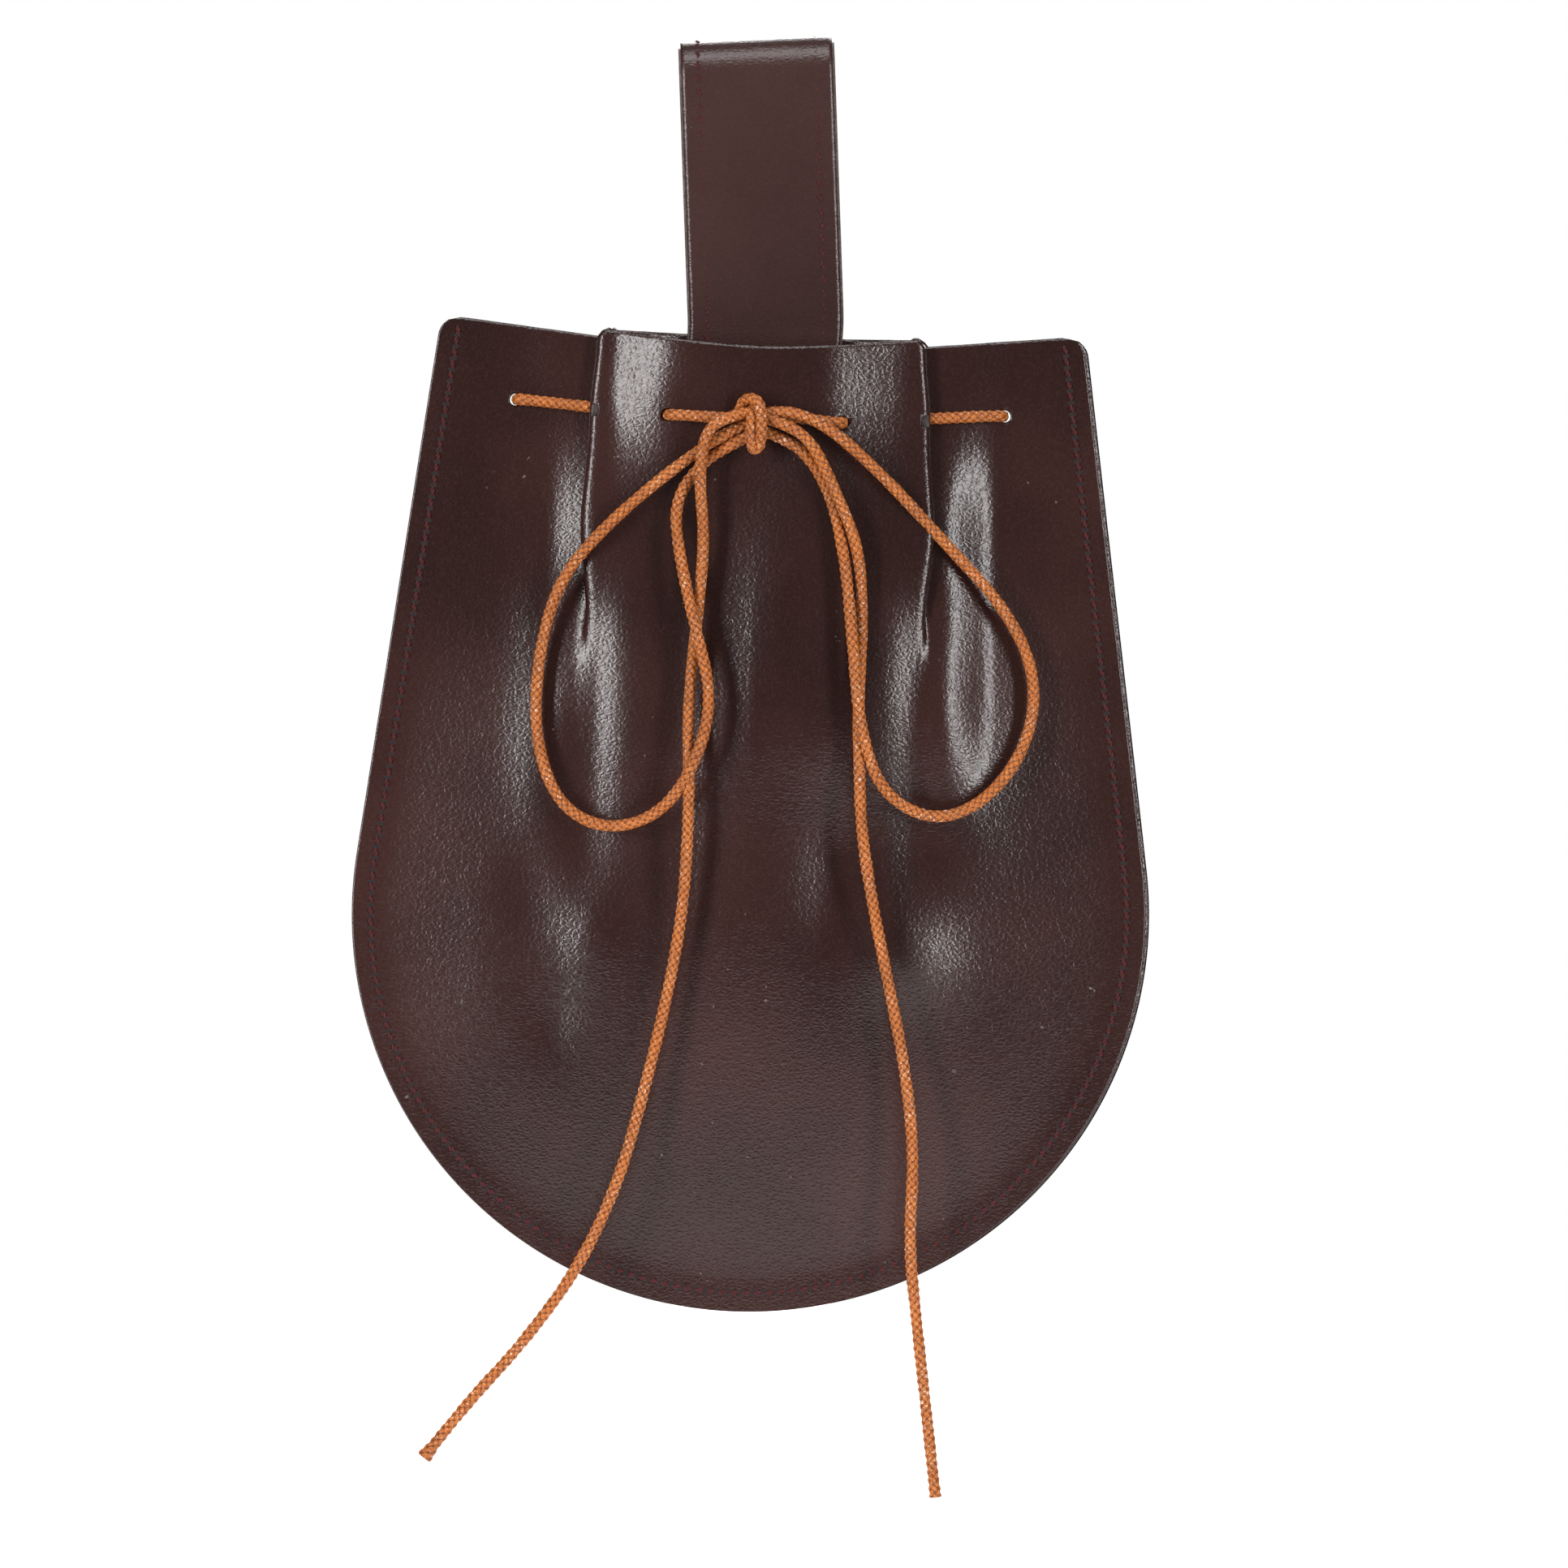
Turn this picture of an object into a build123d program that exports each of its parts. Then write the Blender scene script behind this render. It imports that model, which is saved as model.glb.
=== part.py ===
"""Drawstring dice bag: a horseshoe leather pouch hanging from its belt loop.

Millimetres. +X right, -Y front, +Z up. The origin is the inside top of the belt
loop, where a belt carries the bag. Two leather panels are sewn together round a
U-shaped seam. A two-layer strap folds into the belt loop and is sewn through the
back panel. A waxed cord is laced round the mouth and tied in a bow at the front.
"""

import os
from math import cos, hypot, pi, radians, sin, tan

from build123d import *

# ---- driving dimensions -------------------------------------------------------

LEATHER = 1.2  # thickness of a pouch panel
STRAP_LAYER = 1.1  # thickness of each strap layer
CORD = 2.0  # diameter of the waxed cord
THREAD = 0.7  # diameter of the sewing thread

# Pouch outline, in the pouch's own upright frame
BOTTOM_RADIUS = 69.7  # round bottom
BOTTOM_CENTRE_Z = -152.0
SIDE_SLOPE = 7.7  # degrees that each side leans in towards the mouth
MOUTH_CORNER_Z = -48.4
MOUTH_FOLD_Z = -50.4
MOUTH_MIDDLE_Z = -52.5
BACK_MOUTH_Z = -50.5
FOLD_X = 29.0  # half the width between the two pleat folds
SEAM_MARGIN = 5.0  # flat leather outside the seam
SEAM_GAP = 0.1  # between each panel and the seam plane
MARGIN_EASE = 0.1  # how gently the belly rises from the flat margin
STITCH_INSET = 3.3  # seam stitches, in from the cut edge

# How far each panel stands off the seam plane
FRONT_BELLY = 10.5
BACK_BELLY = 11.0
MOUTH_SHAPE_TOP_Z = -80.0  # above this the gathered mouth sets the shape
MOUTH_SHAPE_END_Z = -125.0  # below this the belly sets the shape

# Lacing holes, punched in a row under the mouth
HOLE_RADIUS = 1.5
HOLE_A = (15.9, -65.4)
HOLE_B = (29.7, -64.0)
HOLE_D = (43.4, -62.9)
BACK_HOLE_A_Z = -66.2

# Strap
STRAP_WIDTH = 26.6
STRAP_STITCH_INSET = 3.0
LOOP_INNER_RADIUS = 4.5
TAB_END_Z = -78.0  # lower ends of the strap, sewn to the back panel
TAB_CLEARANCE = 0.2

# Where the pouch hangs
SEAM_PLANE_Y = -2.4
POUCH_LEAN = 1.3  # degrees, top to the right
POUCH_LEAN_Z = -115.0
POUCH_SHIFT_X = 0.2
STRAP_LEAN = 1.8  # degrees, top to the left
FLEX_Z = -50.5  # line where the strap bends at the mouth
FLEX_GAP = 1.8  # clear space each side of that line

# Bow
KNOT_CENTRE = (0.0, -12.2, -65.5)
KNOT_SIZE = (7.2, 5.0, 9.4)
HOLE_TURN_RADIUS = 1.6  # bend of the cord where it dives through a hole

os.makedirs("parts", exist_ok=True)

POUCH_PLACE = (
    Pos(POUCH_SHIFT_X, SEAM_PLANE_Y, POUCH_LEAN_Z)
    * Rot(0, POUCH_LEAN, 0)
    * Pos(0, 0, -POUCH_LEAN_Z)
)
STRAP_PLACE = Rot(0, -STRAP_LEAN, 0)


def save(shape, node):
    """Write one sub-part to its own STEP file."""
    shape.label = node
    export_step(shape, f"parts/{node}.step")


def ramp(value, start, end):
    """Smooth step: 0 at start, 1 at end."""
    t = min(1.0, max(0.0, (value - start) / (end - start)))
    return t * t * (3 - 2 * t)


# ---- panels -------------------------------------------------------------------


def edge_distance(x, z):
    """Distance in from the pouch's cut edge; negative outside it."""
    slope = radians(SIDE_SLOPE)
    x = abs(x)
    z = z - BOTTOM_CENTRE_Z
    if z > x * tan(slope):
        return BOTTOM_RADIUS - (x * cos(slope) + z * sin(slope))
    return BOTTOM_RADIUS - hypot(x, z)


def belly(x, z):
    """Domed part of a panel: 0 at the seam margin, 1 in the middle."""
    inside = (edge_distance(x, z) - SEAM_MARGIN) / (BOTTOM_RADIUS - SEAM_MARGIN)
    inside = min(1.0, max(0.0, inside))
    inside = inside * inside * (1 + MARGIN_EASE) / (inside + MARGIN_EASE)
    return 1 - (1 - inside) ** 2


def front_depth(x, z):
    """How far the front panel's middle stands in front of the seam plane."""
    gathered = ramp(z, MOUTH_SHAPE_END_Z, MOUTH_SHAPE_TOP_Z)
    across = abs(x)
    wing = 2.0 * ramp(across, 44, 34)
    fold = 3.4 * ramp(across, FOLD_X + 3.5, FOLD_X - 1)
    crown = 0.6 * max(0.0, 1 - (across / FOLD_X) ** 2)
    mouth = wing + fold + crown
    flat = LEATHER / 2 + SEAM_GAP
    return flat + (1 - gathered) * FRONT_BELLY * belly(x, z) + gathered * mouth


def back_depth(x, z):
    """How far the back panel's middle stands behind the seam plane."""
    gathered = ramp(z, MOUTH_SHAPE_END_Z, MOUTH_SHAPE_TOP_Z)
    across = abs(x)
    wing = 0.4 * ramp(across, 44, 34)
    fold = 3.4 * ramp(across, FOLD_X + 3.5, FOLD_X - 1)
    under_strap = -2.1 * ramp(across, 22, 14)
    mouth = wing + fold + under_strap
    flat = LEATHER / 2 + SEAM_GAP
    return flat + (1 - gathered) * BACK_BELLY * belly(x, z) + gathered * mouth


def outline_prism(mouth_line):
    """Solid block with the panel's outline, cut at the mouth along the given line."""
    slope = radians(SIDE_SLOPE)
    tangent_x = BOTTOM_RADIUS * cos(slope)
    tangent_z = BOTTOM_CENTRE_Z + BOTTOM_RADIUS * sin(slope)
    corner_x = tangent_x - tan(slope) * (MOUTH_CORNER_Z - tangent_z)
    right = [(x, z) for x, z in mouth_line]
    left = [(-x, z) for x, z in reversed(mouth_line) if x > 0]
    top = left + right
    with BuildSketch(Plane.XZ) as sketch:
        with BuildLine():
            Polyline((-tangent_x, tangent_z), (-corner_x, MOUTH_CORNER_Z), *top,
                     (corner_x, MOUTH_CORNER_Z), (tangent_x, tangent_z))
            ThreePointArc(
                (tangent_x, tangent_z),
                (0, BOTTOM_CENTRE_Z - BOTTOM_RADIUS),
                (-tangent_x, tangent_z),
            )
        make_face()
    return extrude(sketch.sketch, amount=40, both=True)


def leather_shell(depth, side):
    """Curved leather that follows a depth function. side is -1 in front, 1 behind."""
    half = [4, 10, 16, 21, 25, 27, 28.5, 30, 31.5, 33.5, 37, 41, 46, 52, 58, 64, 70, 76]
    columns = [-x for x in reversed(half)] + [0] + half
    rows = [-227 + 5.0 * i for i in range(37)]
    grid = [[Vector(x, side * depth(x, z) - LEATHER / 2, z) for z in rows] for x in columns]
    skin = Face.make_surface_from_array_of_points(grid, tol=0.06, min_deg=3, max_deg=3)
    return extrude(skin, amount=LEATHER, dir=(0, 1, 0))


def round_hole(x, z):
    """Drill for a punched hole, through front to back."""
    drill = Cylinder(HOLE_RADIUS, 60)
    return Pos(x, 0, z) * Rot(90, 0, 0) * drill


def fold_hole(x, y, z):
    """Drill for a hole at a fold edge, where the cord comes out sideways."""
    drill = Cylinder(HOLE_RADIUS, 9)
    return Pos(x, y, z) * Rot(0, 90, 0) * drill


def build_front_panel():
    mouth = [(0, MOUTH_MIDDLE_Z), (FOLD_X, MOUTH_FOLD_Z), (FOLD_X + 1.5, MOUTH_FOLD_Z - 0.6)]
    panel = leather_shell(front_depth, -1) & outline_prism(mouth)
    for side in (-1, 1):
        panel -= round_hole(side * HOLE_A[0], HOLE_A[1])
        panel -= round_hole(side * HOLE_D[0], HOLE_D[1])
        panel -= fold_hole(side * (HOLE_B[0] + 1.0), FRONT_FOLD_CORD_Y, HOLE_B[1])
    return panel


def build_back_panel():
    mouth = [(0, BACK_MOUTH_Z), (FOLD_X, BACK_MOUTH_Z)]
    panel = leather_shell(back_depth, 1) & outline_prism(mouth)
    for side in (-1, 1):
        panel -= round_hole(side * HOLE_A[0], BACK_HOLE_A_Z)
        panel -= round_hole(side * HOLE_D[0], HOLE_D[1])
        panel -= fold_hole(side * (HOLE_B[0] + 1.0), BACK_FOLD_CORD_Y, HOLE_B[1])
    return panel


def build_seam_thread():
    """Thread round the U, as one line of stitching held in both panels."""
    slope = radians(SIDE_SLOPE)
    radius = BOTTOM_RADIUS - STITCH_INSET
    tangent_x = radius * cos(slope)
    tangent_z = BOTTOM_CENTRE_Z + radius * sin(slope)
    rise = MOUTH_CORNER_Z - 1.5 - tangent_z
    top_x = tangent_x - tan(slope) * rise
    with BuildLine(Plane.XZ) as route:
        Line((-top_x, tangent_z + rise), (-tangent_x, tangent_z))
        ThreePointArc((-tangent_x, tangent_z), (0, BOTTOM_CENTRE_Z - radius), (tangent_x, tangent_z))
        Line((tangent_x, tangent_z), (top_x, tangent_z + rise))
    start = route.line @ 0
    width = 2 * LEATHER + THREAD
    section = Plane(origin=start, z_dir=route.line % 0) * Rectangle(THREAD, width)
    band = sweep(section, path=route.line)
    return band


# ---- strap --------------------------------------------------------------------


def strap_line(offset):
    """Side view of the strap loop in the YZ plane, a distance outside its lining."""
    leg = LEATHER / 2 + TAB_CLEARANCE + offset
    wide = LOOP_INNER_RADIUS + offset
    points = [
        (-leg, TAB_END_Z),
        (-leg, FLEX_Z - 2),
        (-wide, -24),
        (-wide, offset),
        (wide, offset),
        (wide, -24),
        (leg, FLEX_Z - 2),
        (leg, TAB_END_Z),
    ]
    return points, [60, 60, wide - 0.01, wide - 0.01, 60, 60]


def strap_layer(inner, outer, width):
    """One strip of the strap, folded into the loop."""
    inner_points, inner_radii = strap_line(inner)
    outer_points, outer_radii = strap_line(outer)
    with BuildSketch(Plane.YZ) as sketch:
        with BuildLine():
            low = FilletPolyline(*inner_points, radius=inner_radii)
            high = FilletPolyline(*outer_points, radius=outer_radii)
            Line(low @ 0, high @ 0)
            Line(low @ 1, high @ 1)
        make_face()
    return extrude(sketch.sketch, amount=width / 2, both=True)


def block(low, high):
    """Box between two corners."""
    size = [b - a for a, b in zip(low, high)]
    middle = [(a + b) / 2 for a, b in zip(low, high)]
    return Pos(*middle) * Box(*size)


def split_strap(layer):
    """Loop above the flex line, front tab and back tab below it."""
    loop = layer & block((-30, -20, FLEX_Z + FLEX_GAP), (30, 20, 10))
    front = layer & block((-30, -20, TAB_END_Z - 1), (30, 0, FLEX_Z - FLEX_GAP))
    back = layer & block((-30, 0, TAB_END_Z - 1), (30, 20, FLEX_Z - FLEX_GAP))
    return loop, front, back


def build_strap():
    lining = split_strap(strap_layer(0, STRAP_LAYER, STRAP_WIDTH))
    outer = split_strap(strap_layer(STRAP_LAYER, 2 * STRAP_LAYER, STRAP_WIDTH))
    through = strap_layer(-THREAD / 4, 2 * STRAP_LAYER + THREAD / 4, THREAD)
    thread_x = STRAP_WIDTH / 2 - STRAP_STITCH_INSET
    save(STRAP_PLACE * outer[0], "belt_loop_outer_strip")
    save(STRAP_PLACE * lining[0], "belt_loop_lining_strip")
    for side, name in ((-1, "left"), (1, "right")):
        thread = split_strap(Pos(side * thread_x, 0, 0) * through)[0]
        save(STRAP_PLACE * thread, f"belt_loop_{name}_edge_stitching")
    tab_place = POUCH_PLACE * Pos(0, -SEAM_PLANE_Y, 0)
    save(tab_place * outer[1], "front_tab_outer_strip")
    save(tab_place * lining[1], "front_tab_lining_strip")
    save(tab_place * outer[2], "back_tab_outer_strip")
    save(tab_place * lining[2], "back_tab_lining_strip")
    save(tab_place * build_tab_stitching(), "tab_anchor_stitching")


def build_tab_stitching():
    """Two rows of thread that sew both tabs through the back panel."""
    reach = LEATHER / 2 + TAB_CLEARANCE + 2 * STRAP_LAYER + THREAD / 4
    across = STRAP_WIDTH / 2 - STRAP_STITCH_INSET
    rows = []
    for z in (TAB_END_Z + 3, TAB_END_Z + 7):
        rows.append(block((-across, -reach, z - THREAD / 2), (across, reach, z + THREAD / 2)))
    return Part() + rows


# ---- cord ---------------------------------------------------------------------

FRONT_FACE_CORD_Y = -8.3  # laced on the front of the centre part
FRONT_INSIDE_CORD_Y = -0.9  # inside, behind the front pleat
FRONT_FOLD_CORD_Y = -4.9  # on the front of the wing
FRONT_WING_CORD_Y = -2.8
BACK_WING_CORD_Y = 2.7
BACK_FOLD_CORD_Y = 2.6
BACK_INSIDE_CORD_Y = 0.7
BACK_STRAP_CORD_Y = 6.6
KNOT_SIDE_LEFT = -4.9
KNOT_SIDE_RIGHT = 2.4

# Pouch frame. From the knot's left side round the mouth to the knot's right side.
HALF_LACING = [
    (15.9, FRONT_FACE_CORD_Y, -65.4),
    (15.9, FRONT_INSIDE_CORD_Y, -65.0),
    (28.4, FRONT_INSIDE_CORD_Y, -64.2),
    (28.4, FRONT_FOLD_CORD_Y, -64.0),
    (43.4, FRONT_WING_CORD_Y, -62.9),
    (43.4, BACK_WING_CORD_Y, -62.9),
    (30.0, BACK_FOLD_CORD_Y, -64.2),
    (15.9, BACK_INSIDE_CORD_Y, -66.4),
    (15.9, BACK_STRAP_CORD_Y, -66.2),
]
LACING_ROUTE = (
    [(KNOT_SIDE_LEFT, FRONT_FACE_CORD_Y, -65.5)]
    + [(-x, y, z) for x, y, z in HALF_LACING]
    + list(reversed(HALF_LACING))
    + [(KNOT_SIDE_RIGHT, FRONT_FACE_CORD_Y, -65.5)]
)

# Row frame, from the knot outwards.
LEFT_LOOP_ROUTE = [
    (-4.6, -12.5, -67.2),
    (-14.6, -12.0, -73.9),
    (-26.5, -11.6, -84.0),
    (-35.2, -10.6, -93.5),
    (-39.0, -11.8, -107.0),
    (-39.4, -13.4, -121.5),
    (-35.0, -15.0, -133.0),
    (-26.0, -16.3, -137.2),
    (-16.3, -17.6, -134.2),
    (-10.5, -18.2, -124.5),
    (-8.2, -18.0, -113.5),
    (-10.8, -16.9, -101.0),
    (-13.9, -13.6, -88.5),
    (-14.9, -11.7, -80.0),
    (-10.2, -11.5, -73.4),
    (-4.6, -12.2, -69.8),
]
LEFT_TAIL_ROUTE = [
    (-4.6, -14.6, -64.8),
    (-8.8, -15.0, -67.2),
    (-10.0, -14.4, -75.0),
    (-9.0, -13.6, -86.0),
    (-10.0, -14.2, -98.0),
    (-11.5, -15.3, -111.0),
    (-11.9, -15.9, -120.5),
    (-11.7, -16.1, -128.9),
]
LEFT_TAIL_END_ROUTE = [
    (-11.7, -16.1, -130.1),
    (-12.0, -16.3, -140.0),
    (-12.9, -16.3, -152.0),
    (-15.6, -16.4, -166.5),
    (-19.8, -16.2, -182.0),
    (-24.6, -16.3, -198.5),
    (-31.6, -16.2, -213.5),
    (-41.6, -16.3, -227.0),
    (-50.7, -16.2, -237.3),
    (-58.0, -16.3, -246.6),
]
RIGHT_LOOP_ROUTE = [
    (4.6, -13.9, -63.5),
    (12.2, -13.6, -66.2),
    (22.0, -12.6, -75.0),
    (33.0, -10.6, -86.8),
    (44.0, -10.2, -98.2),
    (49.6, -10.9, -109.5),
    (48.4, -12.1, -121.5),
    (41.0, -14.2, -131.5),
    (31.5, -16.0, -135.8),
    (22.0, -17.4, -131.0),
    (18.2, -18.0, -120.0),
    (16.9, -17.0, -106.0),
    (15.8, -14.3, -92.0),
    (13.6, -12.0, -79.8),
    (9.3, -11.6, -71.6),
    (4.6, -12.2, -68.6),
]
RIGHT_TAIL_ROUTE = [
    (4.6, -14.6, -66.0),
    (9.6, -14.5, -69.0),
    (13.4, -14.4, -77.0),
    (17.9, -14.0, -87.5),
    (18.6, -14.3, -99.0),
    (18.1, -15.2, -110.5),
    (17.7, -15.8, -119.5),
    (18.0, -16.0, -126.4),
]
RIGHT_TAIL_END_ROUTE = [
    (18.0, -16.0, -127.6),
    (18.3, -16.2, -137.0),
    (20.2, -16.3, -149.5),
    (23.0, -16.2, -163.5),
    (26.0, -16.3, -178.5),
    (27.6, -16.2, -194.0),
    (26.9, -16.3, -209.0),
    (28.1, -16.2, -224.0),
    (29.8, -16.3, -239.5),
    (31.3, -16.2, -253.5),
]


def bend_radii(points, tightest=None):
    """Arc radius at each inner point: as large as its two runs allow."""
    radii = []
    for before, here, after in zip(points, points[1:], points[2:]):
        run_in = Vector(*here) - Vector(*before)
        run_out = Vector(*after) - Vector(*here)
        turn = radians(run_in.get_angle(run_out))
        largest = 0.45 * min(run_in.length, run_out.length) / tan(turn / 2)
        if tightest and turn > radians(60):
            largest = tightest
        radii.append(largest)
    return radii


def cord_tube(name, points, tightest=None):
    """Round cord of runs joined by tangent arcs. Prints its radii and its volume."""
    radii = bend_radii(points, tightest)
    with BuildLine() as route:
        path = FilletPolyline(*points, radius=radii)
    section = Plane(origin=path @ 0, z_dir=path % 0) * Circle(CORD / 2)
    tube = sweep(section, path=path)
    expected = pi * (CORD / 2) ** 2 * path.length
    print(f"{name}: length {path.length:.1f}, volume {tube.volume:.1f} of {expected:.1f}")
    print("  radii", [round(r, 1) for r in radii])
    return tube


def build_knot():
    """Outer shape of the tied knot: a rounded lump with the cord's ends leaving its sides."""
    lump = Sphere(1.0)
    lump = scale(lump, by=tuple(size / 2 for size in KNOT_SIZE))
    return Pos(*KNOT_CENTRE) * lump


def build_cord():
    lacing = cord_tube("drawcord_lacing", LACING_ROUTE, HOLE_TURN_RADIUS)
    save(POUCH_PLACE * lacing, "drawcord_lacing")
    save(build_knot(), "bow_knot")
    free_runs = {
        "bow_left_loop": LEFT_LOOP_ROUTE,
        "bow_left_tail": LEFT_TAIL_ROUTE,
        "left_tail_end": LEFT_TAIL_END_ROUTE,
        "bow_right_loop": RIGHT_LOOP_ROUTE,
        "bow_right_tail": RIGHT_TAIL_ROUTE,
        "right_tail_end": RIGHT_TAIL_END_ROUTE,
    }
    for node, points in free_runs.items():
        save(cord_tube(node, points), node)


save(POUCH_PLACE * build_front_panel(), "front_panel")
save(POUCH_PLACE * build_back_panel(), "back_panel")
save(POUCH_PLACE * build_seam_thread(), "side_seam_thread")
build_strap()
build_cord()
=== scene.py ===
"""Drawstring dice bag: leather pouch, belt loop and waxed cord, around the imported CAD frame."""

from math import cos, pi, radians, sin, tan

import bpy
import numpy as np
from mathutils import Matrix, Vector


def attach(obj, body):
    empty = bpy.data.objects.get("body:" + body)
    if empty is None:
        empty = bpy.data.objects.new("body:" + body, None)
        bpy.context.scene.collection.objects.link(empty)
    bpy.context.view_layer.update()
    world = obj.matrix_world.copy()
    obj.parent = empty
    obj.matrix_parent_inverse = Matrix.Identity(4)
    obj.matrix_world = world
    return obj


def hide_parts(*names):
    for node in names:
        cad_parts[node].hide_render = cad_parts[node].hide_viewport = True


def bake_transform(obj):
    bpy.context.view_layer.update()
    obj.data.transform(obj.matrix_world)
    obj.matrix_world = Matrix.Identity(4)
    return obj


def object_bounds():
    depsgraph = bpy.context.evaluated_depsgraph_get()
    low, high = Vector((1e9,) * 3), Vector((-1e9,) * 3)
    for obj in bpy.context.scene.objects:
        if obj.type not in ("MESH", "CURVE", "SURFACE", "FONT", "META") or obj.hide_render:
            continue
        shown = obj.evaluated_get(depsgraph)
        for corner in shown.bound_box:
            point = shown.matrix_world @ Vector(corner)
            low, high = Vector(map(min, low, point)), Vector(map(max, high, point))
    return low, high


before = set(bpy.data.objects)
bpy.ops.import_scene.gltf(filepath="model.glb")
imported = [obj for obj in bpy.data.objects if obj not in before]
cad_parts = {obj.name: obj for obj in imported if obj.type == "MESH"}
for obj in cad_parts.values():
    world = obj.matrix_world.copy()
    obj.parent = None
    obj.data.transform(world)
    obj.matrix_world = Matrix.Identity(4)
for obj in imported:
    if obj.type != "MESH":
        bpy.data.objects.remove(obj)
cad_low, cad_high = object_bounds()

MM = 0.001

# ---- sizes, in millimetres -----------------------------------------------------

# The leather, the strap, the cord and the outline are the CAD model's. The lean of the strap, the
# place and skew of the pouch, the lacing holes and the bellies differ from it a little, to match
# the photograph.

LEATHER = 1.2
CORD = 2.0

BOTTOM_RADIUS = 69.7
BOTTOM_CENTRE_Z = -152.0
SIDE_SLOPE = radians(7.7)
MOUTH_CORNER_Z = -48.4
MOUTH_CORNER_RADIUS = 3.5
SEAM_MARGIN = 5.0
SEAM_PLANE_Y = -2.4
FRONT_BELLY = 7.0
BACK_BELLY = 10.5
PLEAT_HIDDEN = 6.95
PLEAT_STEP = 3.0

POUCH_LEAN = radians(1.3)
POUCH_LEAN_Z = -115.0
POUCH_SHIFT_X = -0.5
MOUTH_SKEW = 0.012
BACK_SHIFT = 0.7

LEFT_HOLE_A = (-16.2, -65.0)
RIGHT_HOLE_A = (14.6, -65.4)
HOLE_B = (29.7, -64.0)
HOLE_D = (42.95, -62.9)
HOLE_RADIUS = 1.1
BITE_RADIUS = 1.0

STRAP_LAYER = 1.1
STRAP_WIDTH = 26.6
LINING_WIDTH = STRAP_WIDTH + 0.8
STRAP_LEAN = radians(2.0)
STRAP_BEND_TOP = -46
STRAP_BEND_LOW = -58
LOOP_INNER_RADIUS = 4.5
TAB_END_Z = -78.0
TAB_CLEARANCE = 0.2

STITCH_INSET = 3.3
SEAM_PITCH = 2.05
SEAM_STITCH = 1.95
STRAP_STITCH_INSET = 3.0
STRAP_PITCH = 2.4
STRAP_STITCH = 2.2
STITCH_SINK = 0.3
STITCH_RADIUS = 0.44
STITCH_SLANT = 0.24
NEEDLE_HOLE_RADIUS = 0.6

TANGENT_X = BOTTOM_RADIUS * cos(SIDE_SLOPE)
TANGENT_Z = BOTTOM_CENTRE_Z + BOTTOM_RADIUS * sin(SIDE_SLOPE)

rng = np.random.default_rng(7)


def ramp(value, start, end):
    """Smooth step: 0 at start, 1 at end."""
    t = np.clip((np.asarray(value, float) - start) / (end - start), 0, 1)
    return t * t * (3 - 2 * t)


def bump_at(value, centre, width):
    """Smooth hump of height 1."""
    return np.exp(-(((np.asarray(value, float) - centre) / width) ** 2))


def in_pouch(points):
    """Points in the pouch's upright frame to the row frame, both in millimetres."""
    points = np.asarray(points, float).reshape(-1, 3)
    skew = MOUTH_SKEW * points[:, 0] * ramp(points[:, 2], -130, -70)
    z = points[:, 2] - skew - POUCH_LEAN_Z
    x = points[:, 0] * cos(POUCH_LEAN) + z * sin(POUCH_LEAN) + POUCH_SHIFT_X
    up = -points[:, 0] * sin(POUCH_LEAN) + z * cos(POUCH_LEAN) + POUCH_LEAN_Z
    return np.stack([x, points[:, 1] + SEAM_PLANE_Y, up], 1)


# ---- camera, light and floor ---------------------------------------------------

VIEW_CENTRE = (4.86, -129.0)
VIEW_WIDTH = 276.0
CAMERA_DISTANCE = 1500.0
SENSOR = 36.0


def make_camera():
    data = bpy.data.cameras.new("camera")
    data.sensor_width = SENSOR
    data.lens = SENSOR * CAMERA_DISTANCE / VIEW_WIDTH
    data.clip_end = 50
    camera = bpy.data.objects.new("camera", data)
    camera.location = (VIEW_CENTRE[0] * MM, -CAMERA_DISTANCE * MM, VIEW_CENTRE[1] * MM)
    camera.rotation_euler = (radians(90), 0, 0)
    bpy.context.collection.objects.link(camera)
    bpy.context.scene.camera = camera


def area_light(name, place, target, size, power, colour=(1, 1, 1)):
    data = bpy.data.lights.new(name, "AREA")
    data.shape = "RECTANGLE"
    data.size, data.size_y = size
    data.energy = power
    data.color = colour
    light = bpy.data.objects.new(name, data)
    light.location = place
    light.rotation_euler = (Vector(target) - Vector(place)).to_track_quat("-Z", "Y").to_euler()
    bpy.context.collection.objects.link(light)


def make_studio():
    middle = (0, 0, -0.12)
    area_light("left_softbox", (-1.03, -1.12, 0.10), middle, (0.33, 1.1), 22)
    area_light("right_softbox", (1.03, -1.12, 0.04), middle, (0.30, 1.1), 17)
    area_light("top_softbox", (0.0, -0.45, 1.1), middle, (1.0, 0.6), 9)
    area_light("back_softbox", (0.2, 1.3, 0.6), middle, (1.2, 0.9), 16)
    world = bpy.data.worlds.new("studio")
    bpy.context.scene.world = world
    world.use_nodes = True
    nodes, links = world.node_tree.nodes, world.node_tree.links
    nodes.clear()
    out = nodes.new("ShaderNodeOutputWorld")
    mix = nodes.new("ShaderNodeMixShader")
    seen = nodes.new("ShaderNodeBackground")
    lit = nodes.new("ShaderNodeBackground")
    path = nodes.new("ShaderNodeLightPath")
    seen.inputs["Color"].default_value = (1, 1, 1, 1)
    lit.inputs["Color"].default_value = (0.96, 0.98, 1, 1)
    lit.inputs["Strength"].default_value = 0.10
    links.new(path.outputs["Is Camera Ray"], mix.inputs[0])
    links.new(lit.outputs[0], mix.inputs[1])
    links.new(seen.outputs[0], mix.inputs[2])
    links.new(mix.outputs[0], out.inputs["Surface"])
    bpy.context.scene.view_settings.view_transform = "Standard"


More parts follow.
